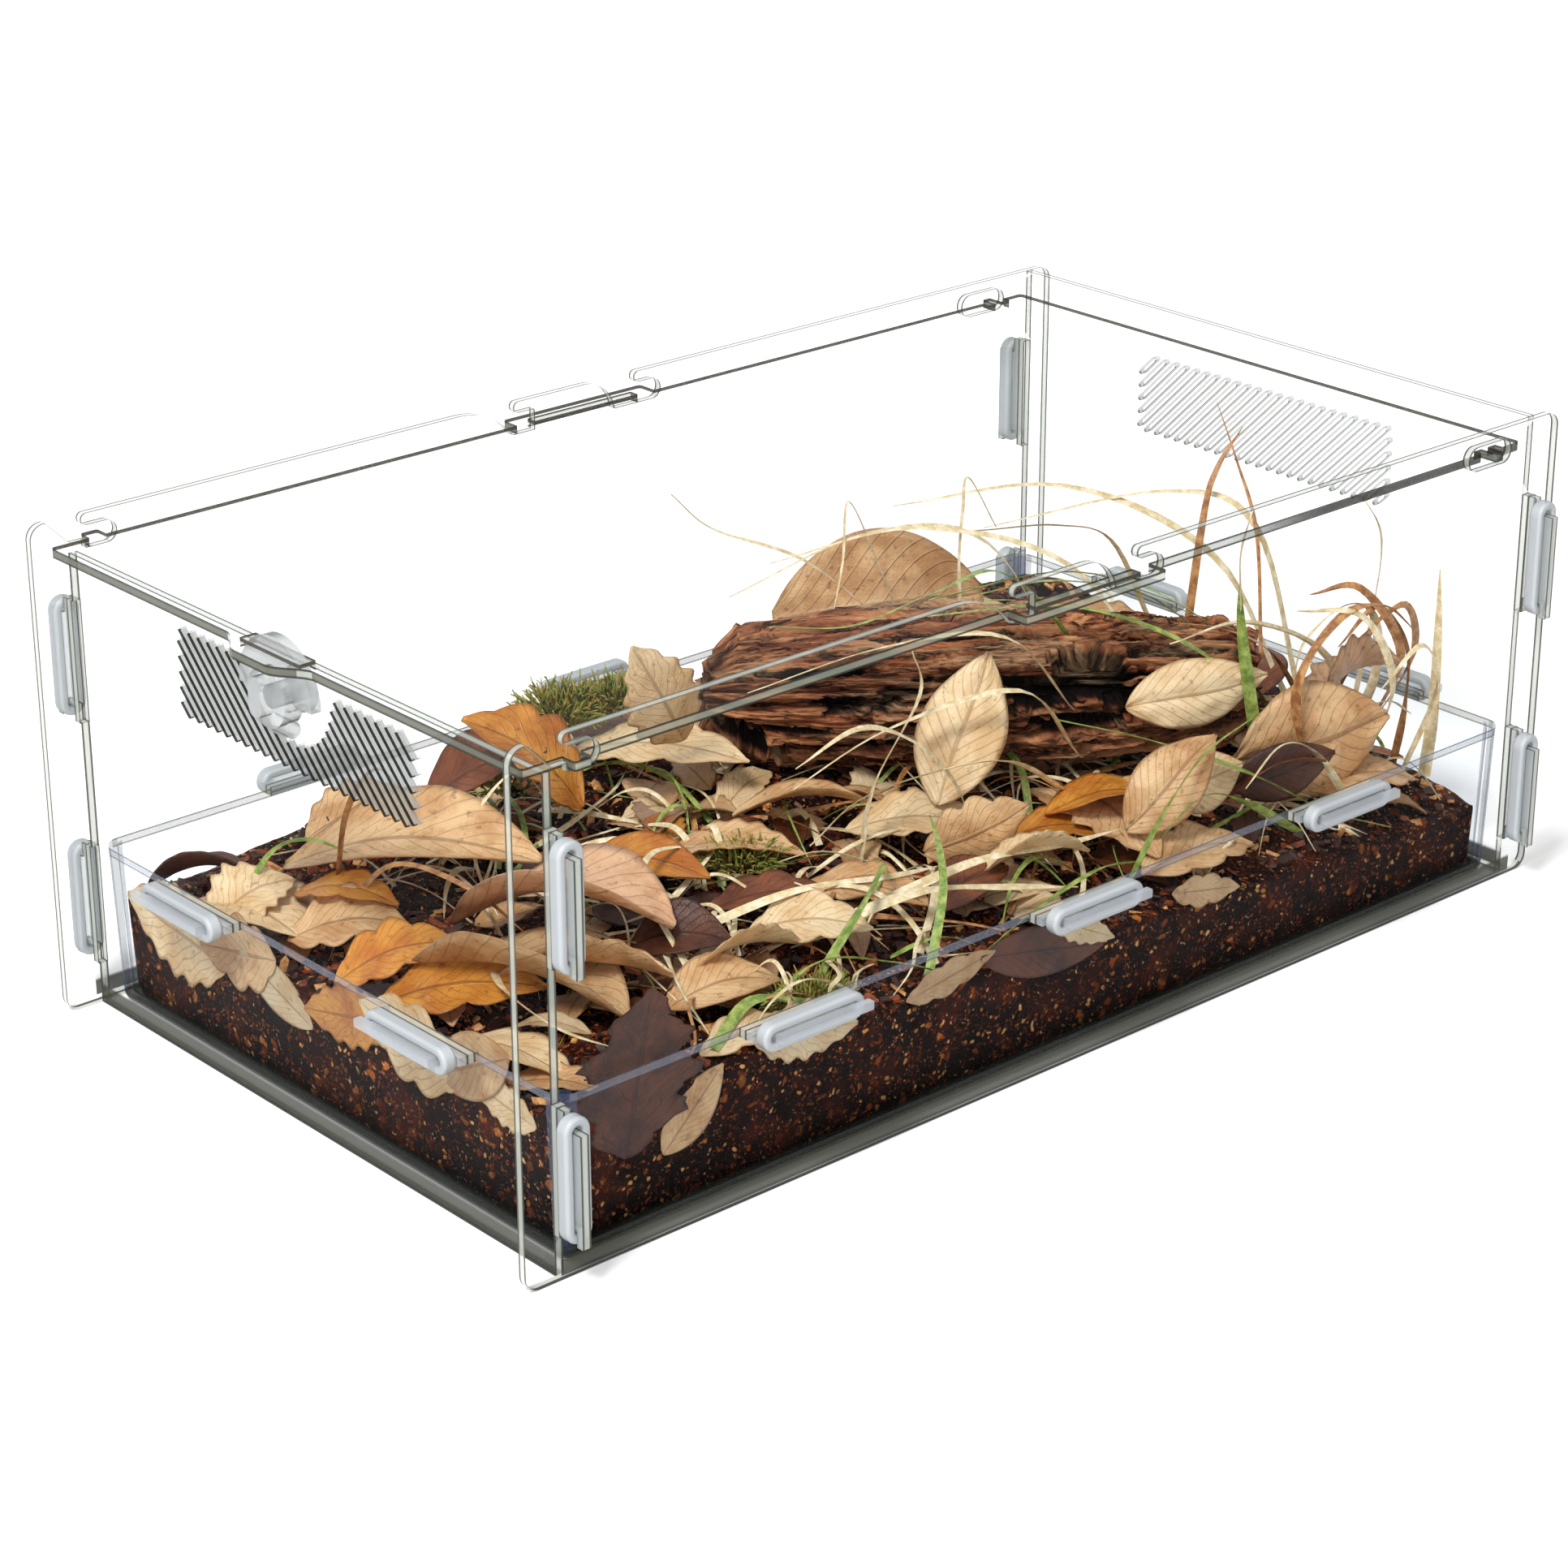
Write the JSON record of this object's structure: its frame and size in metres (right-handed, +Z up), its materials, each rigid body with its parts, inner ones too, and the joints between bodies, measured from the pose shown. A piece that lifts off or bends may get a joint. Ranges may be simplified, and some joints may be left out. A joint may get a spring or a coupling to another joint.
{
  "type": "reptile terrarium",
  "caption": "Flat-pack clear acrylic terrarium for small reptiles: moulded base tray, vented ends, tilting lid with a turning lock, furnished with bedding, driftwood and leaves.",
  "frame": {"origin": "centre of the long panels' length and of the box's depth, on the surface it stands on", "axes": "+X along the long side towards the hinge end, +Y from the front panel to the back panel, +Z up"},
  "size_m": [0.357, 0.211, 0.1335],
  "materials": {
    "clear_acrylic": "polished clear acrylic sheet",
    "silicone": "milky translucent silicone",
    "moulded_clear": "moulded clear plastic",
    "tray_plastic": "clear plastic with a slight blue tint",
    "bedding": "moist crumbled wood and coir",
    "driftwood": "weathered rotten wood",
    "dry_leaf": "dry leaves",
    "grass": "dry and green blades",
    "moss": "moss"
  },
  "bodies": {
    "enclosure": {"front_panel": "clear_acrylic", "back_panel": "clear_acrylic", "latch_end_panel": "clear_acrylic", "hinge_end_panel": "clear_acrylic", "base_tray": "tray_plastic", "band_front_tray_1": "silicone", "band_front_tray_2": "silicone", "band_front_tray_3": "silicone", "band_back_tray_1": "silicone", "band_back_tray_2": "silicone", "band_back_tray_3": "silicone", "band_latch_tray_1": "silicone", "band_latch_tray_2": "silicone", "band_hinge_tray_1": "silicone", "band_hinge_tray_2": "silicone", "band_front_latch_low": "silicone", "band_front_latch_high": "silicone", "band_front_hinge_low": "silicone", "band_front_hinge_high": "silicone", "band_back_latch_low": "silicone", "band_back_latch_high": "silicone", "band_back_hinge_low": "silicone", "band_back_hinge_high": "silicone", "substrate": "bedding", "driftwood": "driftwood", "standing_leaf": "dry_leaf", "leaf_litter": "dry_leaf", "grass": "grass", "moss": "moss"},
    "lid": {"lid": "clear_acrylic"},
    "lock": {"lock_cam": "moulded_clear", "lock_spindle": "moulded_clear", "lock_retainer": "moulded_clear"}
  },
  "joints": [
    {"name": "lid_tilt", "type": "hinge", "parent": "enclosure", "child": "lid", "pos_m": [0.15385, 0, 0.12585], "axis": [0, 1, 0], "range_deg": [0, 105]},
    {"name": "lock_turn", "type": "hinge", "parent": "enclosure", "child": "lock", "pos_m": [-0.1705, 0, 0.1158], "axis": [1, 0, 0], "range_deg": [0, 180]}
  ]
}
